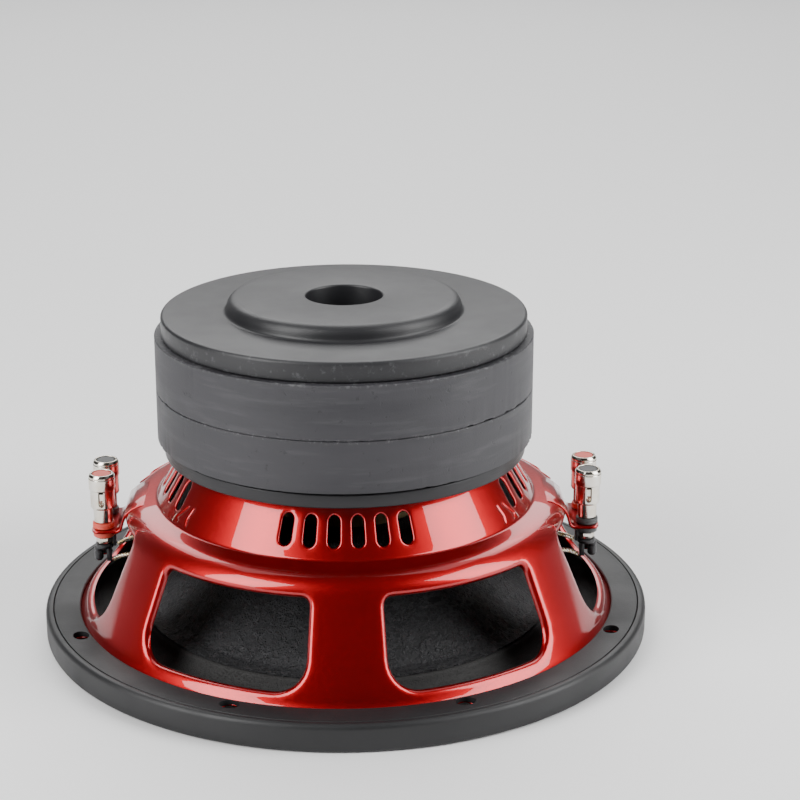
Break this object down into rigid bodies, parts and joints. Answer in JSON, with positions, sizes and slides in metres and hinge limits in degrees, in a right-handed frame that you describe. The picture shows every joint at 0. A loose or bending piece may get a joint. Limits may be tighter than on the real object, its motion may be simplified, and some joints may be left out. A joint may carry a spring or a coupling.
{
  "type": "car subwoofer speaker",
  "caption": "Round car subwoofer driver with a windowed pressed steel basket, stacked ferrite magnet, vented back plate, sprung push terminals and a sliding cone on a foam surround.",
  "frame": {"origin": "centre of the trim ring's front face, which the driver stands on", "axes": "+Z runs along the cone's axis from the front of the driver to its back plate; the terminals are on -X and +X"},
  "size_m": [0.27, 0.27, 0.1503],
  "materials": {
    "basket_paint": "glossy deep red paint over pressed sheet steel",
    "black_trim": "matte black moulded trim",
    "black_rubber": "matte black rubber gasket",
    "foam": "fine grained black surround foam",
    "ferrite": "dark grey ground ferrite with chips and smudges",
    "zinc_plate": "dull dark zinc plate",
    "black_steel": "satin black coating with a fine grain",
    "pulp": "black paper pulp with wrinkles",
    "woven_skin": "black and silver weave under resin",
    "band_cloth": "black band with two rows of stitches",
    "cap_satin": "satin black",
    "spider_cloth": "black resin treated cloth",
    "coil_former": "amber film",
    "copper": "enamelled copper wire",
    "nickel": "bright nickel plate",
    "steel": "plain steel",
    "lug_metal": "blackened",
    "red_plastic": "red plastic",
    "black_plastic": "black plastic",
    "braid": "silver and gold braid"
  },
  "bodies": {
    "frame": {"basket": "basket_paint", "trim_ring": "black_trim", "rear_gasket": "black_rubber", "surround": "foam", "spider": "spider_cloth", "top_plate": "zinc_plate", "magnet_lower": "ferrite", "magnet_upper": "ferrite", "t_yoke": "black_steel", "plate_screw_1": "steel", "plate_screw_2": "steel", "plate_screw_3": "steel", "plate_screw_4": "steel", "left_front_post": "nickel", "left_front_spring": "steel", "left_front_nut": "nickel", "left_front_upper_insulator": "red_plastic", "left_front_lower_insulator": "red_plastic", "left_front_lug": "lug_metal", "left_front_lead": "braid", "left_rear_post": "nickel", "left_rear_spring": "steel", "left_rear_nut": "nickel", "left_rear_upper_insulator": "black_plastic", "left_rear_lower_insulator": "black_plastic", "left_rear_lug": "lug_metal", "left_rear_lead": "braid", "right_front_post": "nickel", "right_front_spring": "steel", "right_front_nut": "nickel", "right_front_upper_insulator": "black_plastic", "right_front_lower_insulator": "black_plastic", "right_front_lug": "lug_metal", "right_front_lead": "braid", "right_rear_post": "nickel", "right_rear_spring": "steel", "right_rear_nut": "nickel", "right_rear_upper_insulator": "red_plastic", "right_rear_lower_insulator": "red_plastic", "right_rear_lug": "lug_metal", "right_rear_lead": "braid"},
    "cone_assembly": {"cone": "pulp", "cone_skin": "woven_skin", "stitch_band": "band_cloth", "dust_cap": "cap_satin", "coil_former": "coil_former", "winding_inner": "copper", "winding_outer": "copper"},
    "left_front_button": {"left_front_sleeve": "nickel", "left_front_marker": "red_plastic"},
    "left_rear_button": {"left_rear_sleeve": "nickel", "left_rear_marker": "black_plastic"},
    "right_front_button": {"right_front_sleeve": "nickel", "right_front_marker": "black_plastic"},
    "right_rear_button": {"right_rear_sleeve": "nickel", "right_rear_marker": "red_plastic"}
  },
  "joints": [
    {"name": "cone_travel", "type": "slide", "parent": "frame", "child": "cone_assembly", "axis": [0, 0, 1], "range_m": [-0.012, 0.012], "stiffness_N_per_m": 5000, "deforming": ["surround", "spider", "left_front_lead", "left_rear_lead", "right_front_lead", "right_rear_lead"]},
    {"name": "left_front_press", "type": "slide", "parent": "frame", "child": "left_front_button", "axis": [0, 0, -1], "range_m": [0, 0.0035], "stiffness_N_per_m": 1200, "springref_m": -0.003, "deforming": ["left_front_spring"]},
    {"name": "left_rear_press", "type": "slide", "parent": "frame", "child": "left_rear_button", "axis": [0, 0, -1], "range_m": [0, 0.0035], "stiffness_N_per_m": 1200, "springref_m": -0.003, "deforming": ["left_rear_spring"]},
    {"name": "right_front_press", "type": "slide", "parent": "frame", "child": "right_front_button", "axis": [0, 0, -1], "range_m": [0, 0.0035], "stiffness_N_per_m": 1200, "springref_m": -0.003, "deforming": ["right_front_spring"]},
    {"name": "right_rear_press", "type": "slide", "parent": "frame", "child": "right_rear_button", "axis": [0, 0, -1], "range_m": [0, 0.0035], "stiffness_N_per_m": 1200, "springref_m": -0.003, "deforming": ["right_rear_spring"]}
  ]
}
